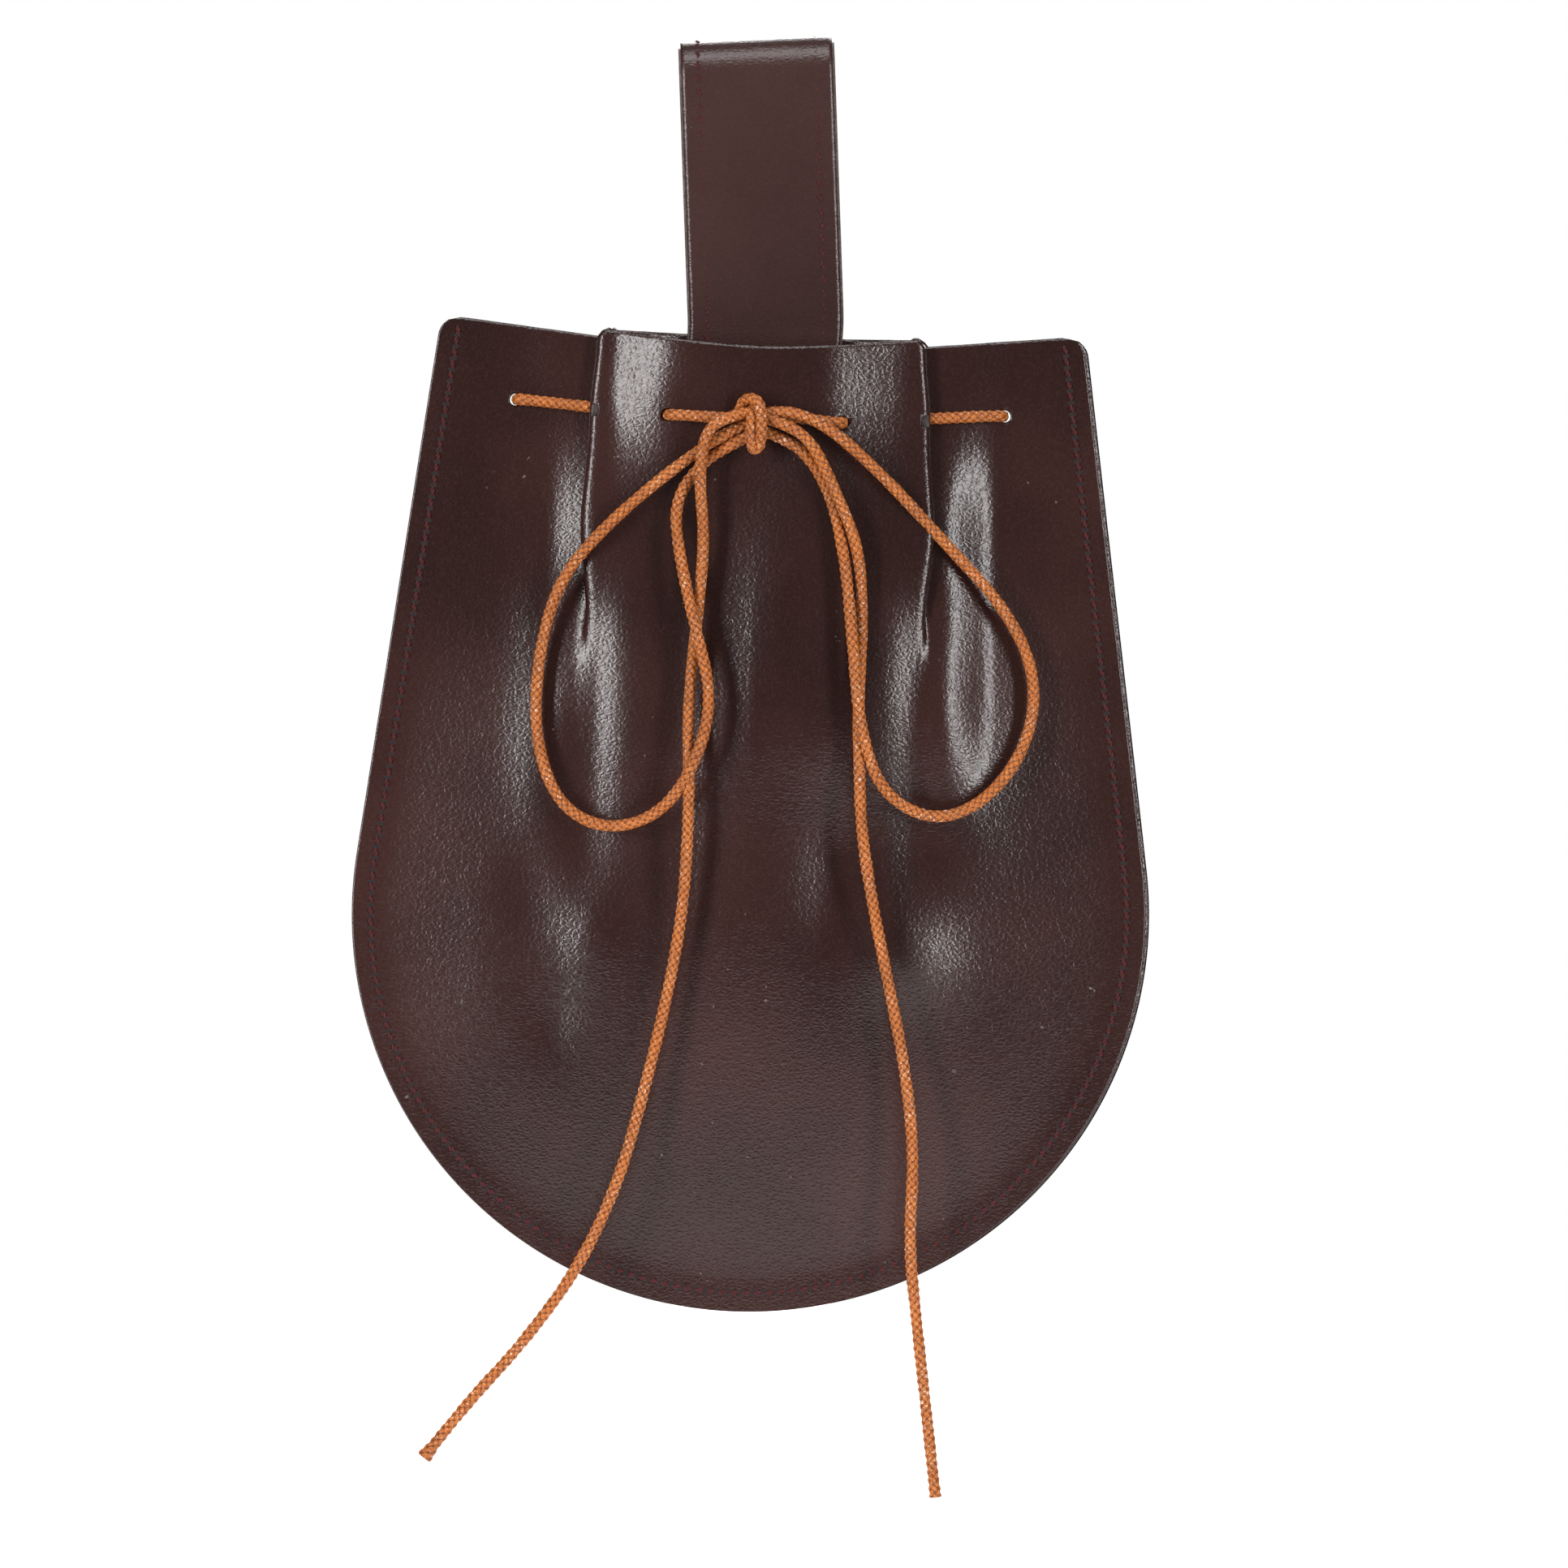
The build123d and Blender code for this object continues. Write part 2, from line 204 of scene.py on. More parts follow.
def make_floor():
    mesh = bpy.data.meshes.new("floor")
    reach, back, level, sides = 0.52, 0.22, cad_low.z - 0.012, 96
    turns = [2 * pi * i / sides for i in range(sides)]
    rim = [(reach * cos(t), back + reach * sin(t), level) for t in turns]
    mesh.from_pydata(rim, [], [tuple(range(sides))])
    floor = bpy.data.objects.new("floor", mesh)
    bpy.context.collection.objects.link(floor)
    paint = bpy.data.materials.new("pale_floor")
    paint.use_nodes = True
    shader = paint.node_tree.nodes["Principled BSDF"]
    shader.inputs["Base Color"].default_value = (0.93, 0.93, 0.93, 1)
    shader.inputs["Roughness"].default_value = 0.6
    shader.inputs["Specular IOR Level"].default_value = 0.2
    shader.inputs["Emission Color"].default_value = (1, 1, 1, 1)
    shader.inputs["Emission Strength"].default_value = 0.62
    mesh.materials.append(paint)


# ---- material helpers ----------------------------------------------------------


class Shade:
    """Short names for building one material's node tree."""

    def __init__(self, name):
        self.material = bpy.data.materials.new(name)
        self.material.use_nodes = True
        self.tree = self.material.node_tree
        self.shader = self.tree.nodes["Principled BSDF"]

    def node(self, kind, **values):
        node = self.tree.nodes.new(kind)
        for key, value in values.items():
            setattr(node, key, value)
        return node

    def link(self, source, target):
        self.tree.links.new(source, target)

    def fill(self, socket, value):
        """Sets a number or a colour on a socket, or links another node's output to it."""
        if isinstance(value, (int, float)):
            socket.default_value = value
        elif isinstance(value, tuple):
            socket.default_value = (*value, 1)
        else:
            self.link(value, socket)

    def place(self, scale):
        coords = self.node("ShaderNodeTexCoord")
        mapping = self.node("ShaderNodeMapping")
        mapping.inputs["Scale"].default_value = scale
        self.link(coords.outputs["Object"], mapping.inputs["Vector"])
        return mapping.outputs[0]

    def noise(self, scale, detail=3.0, rough=0.5, distortion=0.0, vector=None):
        node = self.node("ShaderNodeTexNoise")
        node.inputs["Scale"].default_value = scale
        node.inputs["Detail"].default_value = detail
        node.inputs["Roughness"].default_value = rough
        node.inputs["Distortion"].default_value = distortion
        self.link(vector or self.place((1, 1, 1)), node.inputs["Vector"])
        return node.outputs["Fac"]

    def ramp(self, value, stops):
        node = self.node("ShaderNodeValToRGB")
        elements = node.color_ramp.elements
        while len(elements) < len(stops):
            elements.new(0.5)
        for element, (place, colour) in zip(elements, stops):
            element.position = place
            element.color = (*colour, 1)
        self.link(value, node.inputs[0])
        return node.outputs[0]

    def grey(self, value, low, high, dark=0.0, light=1.0):
        return self.ramp(value, [(low, (dark,) * 3), (high, (light,) * 3)])

    def mix(self, share, first, second):
        node = self.node("ShaderNodeMix", data_type="RGBA")
        self.fill(node.inputs[0], share)
        self.fill(node.inputs[6], first)
        self.fill(node.inputs[7], second)
        return node.outputs[2]

    def maths(self, operation, first, second):
        node = self.node("ShaderNodeMath", operation=operation)
        self.fill(node.inputs[0], first)
        self.fill(node.inputs[1], second)
        return node.outputs[0]

    def bump(self, height, distance, strength, after=None):
        node = self.node("ShaderNodeBump")
        node.inputs["Strength"].default_value = strength
        node.inputs["Distance"].default_value = distance
        self.link(height, node.inputs["Height"])
        if after is not None:
            self.link(after, node.inputs["Normal"])
        return node.outputs[0]

    def attribute(self, name):
        return self.node("ShaderNodeAttribute", attribute_name=name).outputs["Fac"]

    def set(self, **values):
        for key, value in values.items():
            self.fill(self.shader.inputs[key.replace("_", " ")], value)


def leather_material(name, dark, light, roughness, grain):
    """Glossy leather with fine pebbled grain, soft cloudiness, tiny scratches and dust."""
    s = Shade(name)
    clouds = s.noise(24, 3, 0.5)
    base = s.mix(s.grey(clouds, 0.35, 0.68), dark, light)
    speckle = s.noise(2600, 2, 0.6)
    base = s.mix(s.grey(speckle, 0.46, 0.78, 0.0, 0.16), base, (0.085, 0.045, 0.038))
    cells = s.node("ShaderNodeTexVoronoi", feature="DISTANCE_TO_EDGE")
    cells.inputs["Scale"].default_value = 1150
    warp = s.node("ShaderNodeTexNoise")
    warp.inputs["Scale"].default_value = 700
    warp.inputs["Detail"].default_value = 2
    s.link(s.place((1, 1, 1)), warp.inputs["Vector"])
    moved = s.node("ShaderNodeVectorMath", operation="MULTIPLY_ADD")
    moved.inputs[1].default_value = (0.0011, 0.0011, 0.0011)
    s.link(warp.outputs["Color"], moved.inputs[0])
    s.link(s.place((0.8, 0.8, 1.3)), moved.inputs[2])
    s.link(moved.outputs[0], cells.inputs["Vector"])
    pebbles = s.grey(cells.outputs["Distance"], 0.0, 0.32)
    creases = s.noise(1.0, 3, 0.55, 0.8, s.place((620, 620, 1500)))
    fine = s.noise(3000, 2, 0.6)
    scratches = s.noise(1.0, 3, 0.6, 0.2, s.place((2600, 900, 160)))
    worn = s.maths("MULTIPLY", s.grey(scratches, 0.70, 0.78), s.grey(s.noise(30, 2), 0.52, 0.66))
    specks = s.grey(s.noise(900, 1, 0.4), 0.775, 0.80)
    dust = s.maths("MULTIPLY", specks, s.grey(s.noise(45, 2), 0.5, 0.6))
    base = s.mix(s.maths("MULTIPLY", dust, 0.3), base, (0.30, 0.26, 0.25))
    rough = s.maths("ADD", s.maths("MULTIPLY", clouds, 0.10), roughness - 0.05)
    rough = s.maths("ADD", rough, s.maths("MULTIPLY", worn, 0.2))
    normal = s.bump(pebbles, grain * MM, 0.8)
    normal = s.bump(creases, grain * 1.2 * MM, 0.8, normal)
    normal = s.bump(fine, grain * 0.3 * MM, 0.6, normal)
    normal = s.bump(s.noise(120, 2, 0.5), 0.20 * MM, 0.18, normal)
    s.set(Base_Color=base, Roughness=rough, Normal=normal, Specular_IOR_Level=0.5)
    return s.material


def edge_material():
    """Painted cut edge of the leather: near black, with a slightly lighter worn line."""
    s = Shade("edge_paint")
    fibres = s.noise(1500, 4, 0.7)
    base = s.mix(s.grey(fibres, 0.4, 0.72), (0.016, 0.011, 0.011), (0.06, 0.042, 0.04))
    s.set(Base_Color=base, Roughness=0.5, Normal=s.bump(fibres, 0.08 * MM, 0.7))
    return s.material


def raw_edge_material():
    """Unpainted, slightly fuzzy edge and flesh side of the lining."""
    s = Shade("raw_lining")
    fibres = s.noise(1100, 5, 0.75, 0.5)
    base = s.mix(s.grey(fibres, 0.35, 0.7), (0.04, 0.027, 0.025), (0.16, 0.12, 0.11))
    s.set(Base_Color=base, Roughness=0.85, Normal=s.bump(fibres, 0.12 * MM, 0.8))
    s.set(Sheen_Weight=0.3)
    return s.material


def thread_material():
    """Waxed burgundy sewing thread."""
    s = Shade("burgundy_thread")
    fibres = s.noise(3500, 3, 0.6)
    base = s.mix(s.grey(fibres, 0.35, 0.7), (0.026, 0.0042, 0.0048), (0.085, 0.0120, 0.0135))
    s.set(Base_Color=base, Roughness=0.6, Normal=s.bump(fibres, 0.03 * MM, 0.6))
    s.set(Sheen_Weight=0.05, Specular_IOR_Level=0.2)
    return s.material


def needle_hole_shade_material():
    """Near black: the painted shade inside a needle hole."""
    s = Shade("needle_hole")
    fibres = s.noise(1500, 2)
    base = s.mix(fibres, (0.004, 0.003, 0.003), (0.012, 0.009, 0.009))
    s.set(Base_Color=base, Roughness=0.9)
    return s.material


def cord_material():
    """Waxed braided cotton: orange-brown strands, painted shade in the gaps, painted highlights on
    some fibres, and whitish flecks that are part waxy bloom and part painted glints.
    """
    s = Shade("waxed_braid")
    height = s.attribute("braid")
    tone = s.noise(240, 3, 0.6)
    base = s.mix(s.grey(tone, 0.3, 0.7), (0.225, 0.044, 0.003), (0.38, 0.090, 0.008))
    fibres = s.noise(3400, 3, 0.7)
    # painted highlight: some fibres are lightened towards a bright orange, as if lit
    base = s.mix(s.grey(fibres, 0.42, 0.72, 0.0, 0.6), base, (0.78, 0.31, 0.075))
    base = s.mix(s.grey(fibres, 0.25, 0.46, 0.7, 0.0), base, (0.16, 0.036, 0.004))
    # painted shade: the colour darkens where the braid relief is low, in the gaps between strands
    base = s.mix(s.grey(height, 0.12, 0.66, 0.0, 1.0), (0.045, 0.009, 0.001), base)
    # whitish flecks, strongest on the strand tops: partly waxy bloom, partly painted glints
    flecks = s.grey(s.noise(2300, 2, 0.5), 0.60, 0.66)
    wax_and_glints = s.maths("MULTIPLY", flecks, s.grey(s.noise(130, 2), 0.40, 0.62))
    wax_and_glints = s.maths("MULTIPLY", wax_and_glints, s.grey(height, 0.45, 0.8, 0.25, 1.0))
    base = s.mix(s.maths("MULTIPLY", wax_and_glints, 0.65), base, (0.82, 0.66, 0.52))
    s.set(Base_Color=base, Roughness=0.5, Normal=s.bump(fibres, 0.07 * MM, 0.8))
    s.set(Sheen_Weight=0.04, Sheen_Roughness=0.5, Specular_IOR_Level=0.3)
    return s.material


# ---- mesh helpers --------------------------------------------------------------


def metres(x, y, z):
    return (x * MM, y * MM, z * MM)


def make_piece(name, points, faces, materials, slots=None, smooth=True, values=None):
    """Mesh object from points in millimetres."""
    mesh = bpy.data.meshes.new(name)
    mesh.from_pydata((np.asarray(points, float) * MM).tolist(), [], [tuple(f) for f in faces])
    for material in materials:
        mesh.materials.append(material)
    if slots is not None:
        mesh.polygons.foreach_set("material_index", np.asarray(slots, np.int32))
    if smooth:
        mesh.polygons.foreach_set("use_smooth", np.ones(len(mesh.polygons), bool))
    for key, data in (values or {}).items():
        attribute = mesh.attributes.new(key, "FLOAT", "POINT")
        attribute.data.foreach_set("value", np.asarray(data, np.float32))
    mesh.update()
    piece = bpy.data.objects.new(name, mesh)
    bpy.context.collection.objects.link(piece)
    return piece


def grid_faces(rows, columns, offset=0, flip=False, around=False):
    """Quads of a grid whose points run along its columns first."""
    faces = []
    last = columns if around else columns - 1
    for r in range(rows - 1):
        for c in range(last):
            n = (c + 1) % columns
            here, below = r * columns, (r + 1) * columns
            quad = (here + c, here + n, below + n, below + c)
            faces.append(tuple(offset + i for i in (reversed(quad) if flip else quad)))
    return faces


def unit_tangents(points):
    """Unit direction along a row of points, at each of them."""
    tangents = np.gradient(points, axis=0)
    return tangents / np.linalg.norm(tangents, axis=1, keepdims=True)


def distances(line):
    """Distance along a line at each of its points."""
    steps = np.linalg.norm(np.diff(line, axis=0), axis=1)
    return np.concatenate([[0], np.cumsum(steps)])


def line_at(line, along):
    """Points of a line at some distances along it."""
    lengths = distances(line)
    columns = [np.interp(along, lengths, line[:, i]) for i in range(line.shape[1])]
    return np.stack(columns, 1)


def surface_normals(grid):
    """Unit normals of a grid of points, shape rows x columns x 3."""
    down = np.gradient(grid, axis=0)
    across = np.gradient(grid, axis=1)
    normals = np.cross(across, down)
    length = np.linalg.norm(normals, axis=2, keepdims=True)
    return normals / np.maximum(length, 1e-9)


def shell_from_grid(name, grid, thickness, materials, drop=0.0):
    """Closed sheet about a middle surface, its outer face lowered by drop. Cut edges get slot 1."""
    rows, columns, _ = grid.shape
    normals = surface_normals(grid)
    outer = grid + normals * (thickness / 2 - np.asarray(drop))
    inner = grid - normals * thickness / 2
    points = np.concatenate([outer.reshape(-1, 3), inner.reshape(-1, 3)])
    count = rows * columns
    faces = grid_faces(rows, columns) + grid_faces(rows, columns, count, flip=True)
    slots = [0] * len(faces)
    ring = list(range(columns))
    ring += [r * columns + columns - 1 for r in range(1, rows)]
    ring += [(rows - 1) * columns + c for c in range(columns - 2, -1, -1)]
    ring += [r * columns for r in range(rows - 2, 0, -1)]
    middle_out = len(points)
    edge = grid.reshape(-1, 3)[ring]
    points = np.concatenate([points, edge])
    for i, here in enumerate(ring):
        following = ring[(i + 1) % len(ring)]
        a, b = middle_out + i, middle_out + (i + 1) % len(ring)
        faces.append((following, here, a, b))
        faces.append((b, a, here + count, following + count))
        slots += [1, 1]
    return make_piece(name, points, faces, materials, slots)


def centre_line(points):
    """Points along the smooth line of a route, read from its NURBS spline. Millimetres."""
    curve = bpy.data.curves.new("route", "CURVE")
    curve.dimensions = "3D"
    spline = curve.splines.new("NURBS")
    spline.points.add(len(points) - 1)
    for target, point in zip(spline.points, points):
        target.co = (*[v * MM for v in point], 1)
    spline.order_u = 3
    spline.use_endpoint_u = True
    spline.resolution_u = 24
    route = bpy.data.objects.new("route", curve)
    bpy.context.collection.objects.link(route)
    bpy.context.view_layer.update()
    mesh = bpy.data.meshes.new_from_object(route)
    line = np.array([v.co for v in mesh.vertices]) / MM
    bpy.data.objects.remove(route)
    bpy.data.curves.remove(curve)
    bpy.data.meshes.remove(mesh)
    if np.linalg.norm(line[0] - points[0]) > np.linalg.norm(line[-1] - points[0]):
        line = line[::-1]
    return line


def resample(line, step):
    """The same line with even spacing, and the distance along it."""
    total = distances(line)[-1]
    along = np.linspace(0, total, int(total / step) + 1)
    return line_at(line, along), along


def tube_frames(line):
    """Two directions across a line at each point, turning as little as possible."""
    tangents = unit_tangents(line)
    first = np.zeros_like(line)
    side = np.cross(tangents[0], (0.0, 1.0, 0.3))
    side /= np.linalg.norm(side)
    for i, tangent in enumerate(tangents):
        side = side - tangent * side.dot(tangent)
        side /= np.linalg.norm(side)
        first[i] = side
    return tangents, first, np.cross(tangents, first)


BRAID_STRANDS = 4
BRAID_PITCH = 2.9
BRAID_RELIEF = 0.22
CORD_SIDES = 30
CORD_STEP = 0.16


def braid_height(angle, along):
    """Herringbone relief of a tubular braid, 0 in the gaps and 1 on the strands."""
    a = angle / (2 * pi) * BRAID_STRANDS + along / BRAID_PITCH * BRAID_STRANDS / 2
    b = angle / (2 * pi) * BRAID_STRANDS - along / BRAID_PITCH * BRAID_STRANDS / 2
    over = (np.floor(a) + np.floor(b)) % 2 < 1
    across_a = np.sin(pi * (a % 1))
    across_b = np.sin(pi * (b % 1))
    upper = across_b ** 0.7 * (0.62 + 0.38 * across_a)
    lower = across_a ** 0.7 * (0.62 + 0.38 * across_b)
    return np.where(over, upper, lower)


FUZZ_PER_MM = 5.0


def fuzz(line, tangents, side, up, radius, base):
    """Points and faces of short loose fibres standing off a cord, as thin three-sided hairs."""
    count = int(len(line) * CORD_STEP * FUZZ_PER_MM)
    rows = rng.integers(1, len(line) - 1, count)
    turn = rng.uniform(0, 2 * pi, count)[:, None]
    out = np.cos(turn) * side[rows] + np.sin(turn) * up[rows]
    round_it = np.cross(tangents[rows], out)
    lean = rng.normal(0, 0.9, (count, 1))
    heading = out * 0.7 + tangents[rows] * lean + round_it * rng.normal(0, 0.5, (count, 1))
    heading /= np.linalg.norm(heading, axis=1, keepdims=True)
    bend = tangents[rows] * rng.normal(0, 0.25, (count, 1))
    bend = bend + round_it * rng.normal(0, 0.25, (count, 1))
    length = rng.uniform(0.2, 0.75, (count, 1))
    root = line[rows] + out * (radius * 0.88)
    middle = root + heading * length * 0.5
    tip = root + heading * length + bend * length
    spread = np.cross(heading, tangents[rows] + 0.3 * out)
    spread /= np.linalg.norm(spread, axis=1, keepdims=True)
    other = np.cross(heading, spread)
    points, faces = [], []
    for place, size in ((root, 0.022), (middle, 0.018)):
        for k in range(3):
            turn = 2 * pi * k / 3
            points.append(place + size * (cos(turn) * spread + sin(turn) * other))
    points.append(tip)
    for i in range(count):
        ids = [base + k * count + i for k in range(7)]
        for k in range(3):
            n = (k + 1) % 3
            faces.append((ids[k], ids[n], ids[3 + n], ids[3 + k]))
            faces.append((ids[3 + k], ids[3 + n], ids[6]))
    return np.concatenate(points), faces


def cord_mesh(name, line, material, start_at=0.0, flare=0.0, hollow=False):
    """Braided cord along a line, with closed ends. Its far end can flare out and be hollow."""
    radius = CORD / 2
    line, along = resample(line, CORD_STEP)
    tangents, side, up = tube_frames(line)
    angles = np.linspace(0, 2 * pi, CORD_SIDES, endpoint=False)
    total = along[-1]
    height = braid_height(angles[None, :], along[:, None] + start_at)
    wobble = 1 + 0.025 * np.sin(along / 2.3 + start_at) + 0.02 * np.sin(along / 0.9 + 1.3)
    size = radius * wobble - BRAID_RELIEF
    if flare:
        size = size * (1 + flare * ramp(along, total - 3.2, total - 0.4))
    reach = size[:, None] + BRAID_RELIEF * height * 1.25
    ring = np.cos(angles)[None, :, None] * side[:, None, :]
    ring = ring + np.sin(angles)[None, :, None] * up[:, None, :]
    tube = line[:, None, :] + reach[:, :, None] * ring
    rows = len(line)
    points = [tube.reshape(-1, 3)]
    values = [height.reshape(-1)]
    faces = grid_faces(rows, CORD_SIDES, around=True)
    count = rows * CORD_SIDES
    for row, sign, sunk in ((0, -1, False), (rows - 1, 1, hollow)):
        centre, edge = line[row], tube[row]
        # rim and middle are braid values that the material turns into painted shade on the end
        # caps, darkest inside a hollow end
        share, depth, rim, middle = (0.55, -1.2, 0.25, 0.0) if sunk else (0.6, 0.12, 0.5, 0.4)
        inner = centre + (edge - centre) * share + tangents[row] * sign * depth * 0.8
        tip = centre + tangents[row] * sign * depth
        points += [inner, tip[None, :]]
        values += [np.full(CORD_SIDES, rim), [middle]]
        for c in range(CORD_SIDES):
            n = (c + 1) % CORD_SIDES
            a, b = row * CORD_SIDES + c, row * CORD_SIDES + n
            quad = (a, b, count + n, count + c)
            cap = (count + c, count + n, count + CORD_SIDES)
            faces.append(quad if sign > 0 else quad[::-1])
            faces.append(cap if sign > 0 else cap[::-1])
        count += CORD_SIDES + 1
    hairs, hair_faces = fuzz(line, tangents, side, up, radius, count)
    points.append(hairs)
    faces += hair_faces
    values.append(np.full(len(hairs), 0.9))
    values = {"braid": np.concatenate(values)}
    return make_piece(name, np.concatenate(points), faces, [material], values=values), line


# ---- cord routes, in the row frame, millimetres --------------------------------

# The lacing's points are in the pouch's upright frame, which in_pouch turns into the row frame.
LACING_ROUTE = [
    (-3.0, -9.2, -65.3),
    (-9.0, -9.5, -65.2),
    (-13.9, -9.3, -65.0),
    (-16.3, -8.6, -65.0),
    (-16.1, -0.9, -65.0),
    (-28.4, -0.9, -64.2),
    (-28.2, -2.6, -64.0),
    (-31.0, -2.9, -63.8),
    (-39.3, -2.5, -63.1),
    (-42.8, -2.3, -62.9),
    (-42.6, 2.7, -62.9),
    (-30.0, 2.6, -64.2),
    (-15.9, 0.7, -65.4),
    (-15.9, 6.6, -65.4),
    (14.3, 6.6, -65.6),
    (14.3, 0.7, -65.6),
    (30.0, 2.6, -64.2),
    (42.6, 2.7, -62.9),
    (42.8, -2.3, -62.9),
    (39.3, -2.5, -63.1),
    (31.0, -2.9, -63.8),
    (28.2, -2.6, -64.0),
    (28.4, -0.9, -64.2),
    (14.4, -0.9, -65.2),
    (14.7, -8.6, -65.4),
    (12.4, -9.3, -65.4),
    (8.0, -9.4, -64.9),
    (3.0, -9.2, -64.6),
]
LEFT_LOOP_ROUTE = [
    (-4.6, -12.5, -67.2),
    (-14.6, -12.0, -73.9),
    (-26.5, -11.6, -84.0),
    (-34.7, -8.8, -93.5),
    (-38.3, -9.0, -107.0),
    (-38.7, -10.2, -121.5),
    (-34.6, -10.6, -132.8),
    (-26.0, -12.0, -137.2),
    (-16.3, -14.6, -134.2),
    (-10.0, -16.9, -124.5),
    (-7.6, -16.8, -113.5),
    (-10.8, -15.7, -101.0),
    (-13.5, -13.6, -88.5),
    (-14.3, -11.7, -80.0),
    (-10.2, -11.7, -73.4),
    (-4.6, -12.2, -69.8),
]
LEFT_TAIL_ROUTE = [
    (-4.6, -14.6, -64.8),
    (-8.8, -15.0, -67.2),
    (-10.0, -14.4, -75.0),
    (-9.0, -13.0, -86.0),
    (-10.0, -13.4, -98.0),
    (-11.5, -14.2, -111.0),
    (-11.9, -15.0, -120.5),
    (-11.7, -15.6, -128.9),
]
LEFT_TAIL_END_ROUTE = [
    (-11.7, -15.6, -130.1),
    (-12.0, -15.0, -140.0),
    (-12.9, -14.3, -152.0),
    (-15.6, -13.5, -166.5),
    (-19.4, -12.8, -182.0),
    (-24.0, -12.9, -198.5),
    (-31.1, -12.4, -213.7),
    (-41.2, -12.1, -227.2),
    (-50.7, -12.0, -237.3),
    (-58.0, -12.0, -246.6),
]
RIGHT_LOOP_ROUTE = [
    (4.6, -13.9, -63.5),
    (12.2, -13.6, -66.2),
    (22.0, -12.6, -75.0),
    (33.0, -9.4, -86.8),
    (43.6, -7.6, -98.2),
    (49.0, -7.4, -109.5),
    (47.9, -8.4, -121.5),
    (41.0, -9.6, -131.5),
    (31.5, -11.5, -135.8),
    (22.0, -14.3, -131.0),
    (18.2, -16.9, -120.0),
    (16.9, -16.0, -106.0),
    (15.8, -14.3, -92.0),
    (13.6, -12.3, -79.8),
    (9.3, -12.2, -71.6),
    (4.6, -12.2, -68.6),
]
RIGHT_TAIL_ROUTE = [
    (4.6, -14.6, -66.0),
    (9.6, -14.5, -69.0),
    (13.4, -14.4, -77.0),
    (17.9, -14.0, -87.5),
    (18.6, -13.3, -99.0),
    (18.1, -13.9, -110.5),
    (17.7, -14.8, -119.5),
    (18.0, -15.4, -126.4),
]
RIGHT_TAIL_END_ROUTE = [
    (18.0, -15.4, -127.6),
    (18.3, -15.3, -137.0),
    (20.2, -14.2, -149.5),
    (23.0, -13.5, -163.5),
    (26.0, -12.9, -178.5),
    (27.6, -12.9, -194.0),
    (26.6, -12.4, -209.0),
    (28.1, -12.1, -224.0),
    (29.8, -12.0, -239.5),
    (31.3, -12.0, -253.5),
]
KNOT_ROUTE = [
    (-2.9, -11.2, -65.6),
    (-3.0, -11.8, -63.4),
    (-1.8, -12.9, -61.7),
    (0.2, -14.2, -61.9),
    (0.9, -15.4, -63.9),
    (1.0, -15.7, -67.0),
    (0.8, -15.0, -69.8),
    (-0.3, -14.7, -71.0),
    (-1.0, -14.9, -69.2),
    (-0.8, -15.0, -66.2),
    (-0.7, -14.0, -64.4),
    (-0.1, -12.6, -63.0),
]


def held_cord(name, node, line, material, start_at=0.0):
    """A stretch of cord that stays with the pouch."""
    piece, _ = cord_mesh(name, line, material, start_at=start_at)
    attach(piece, "pouch")
    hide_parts(node)
    return piece


def free_cord(name, node, route, body, material, far_end, start_at, blend_to, held=(), **shape):
    """A stretch of free cord. Returns how far along the braid it ends."""
    piece, line = cord_mesh(name, centre_line(route), material, start_at=start_at, **shape)
    length = distances(line)[-1]
    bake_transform(piece)
    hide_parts(node)
    return start_at + length


def make_cords():
    braid = cord_material()
    held_cord("lacing_cord", "drawcord_lacing", centre_line(in_pouch(LACING_ROUTE)), braid)
    knot = held_cord("knot_wrap", "bow_knot", centre_line(KNOT_ROUTE), braid, 3.0)
    # these regions run diagonally out of the knot
    to_bow_left = ("bow", metres(-2.5, 0, -66), metres(-7.3, 0, -68.4))
    to_bow_right = ("bow", metres(2.5, 0, -66), metres(7.3, 0, -68.4))
    to_left_tail = ("left_tail", metres(0, 0, -127.0), metres(0, 0, -132.2))
    to_right_tail = ("right_tail", metres(0, 0, -124.5), metres(0, 0, -129.7))
    free_cord(
        "left_loop_cord", "bow_left_loop",
        [(-0.6, -12.2, -65.8)] + LEFT_LOOP_ROUTE + [(-0.8, -12.6, -68.0)],
        "pouch", braid, "object", 0.0, to_bow_left)
    free_cord(
        "right_loop_cord", "bow_right_loop",
        [(0.6, -12.6, -64.6)] + RIGHT_LOOP_ROUTE + [(0.8, -12.6, -67.2)],
        "pouch", braid, "object", 1.1, to_bow_right)
    along = free_cord(
        "left_tail_cord", "bow_left_tail", [(-0.8, -12.8, -64.0)] + LEFT_TAIL_ROUTE,
        "pouch", braid, "object", 0.4, to_bow_left, [knot])
    free_cord(
        "left_tail_end_cord", "left_tail_end", [LEFT_TAIL_ROUTE[-1]] + LEFT_TAIL_END_ROUTE,
        "bow", braid, "bare", along, to_left_tail, flare=0.35, hollow=True)
    along = free_cord(
        "right_tail_cord", "bow_right_tail", [(0.8, -13.0, -65.0)] + RIGHT_TAIL_ROUTE,
        "pouch", braid, "object", 0.9, to_bow_right)
    free_cord(
        "right_tail_end_cord", "right_tail_end", [RIGHT_TAIL_ROUTE[-1]] + RIGHT_TAIL_END_ROUTE,
        "bow", braid, "bare", along, to_right_tail, flare=0.12)


# ---- panels --------------------------------------------------------------------


def edge_distance(x, z):
    """Distance in from the pouch's cut edge."""
    x, z = np.abs(x), z - BOTTOM_CENTRE_Z
    side = BOTTOM_RADIUS - (x * cos(SIDE_SLOPE) + z * sin(SIDE_SLOPE))
    return np.where(z > x * tan(SIDE_SLOPE), side, BOTTOM_RADIUS - np.hypot(x, z))


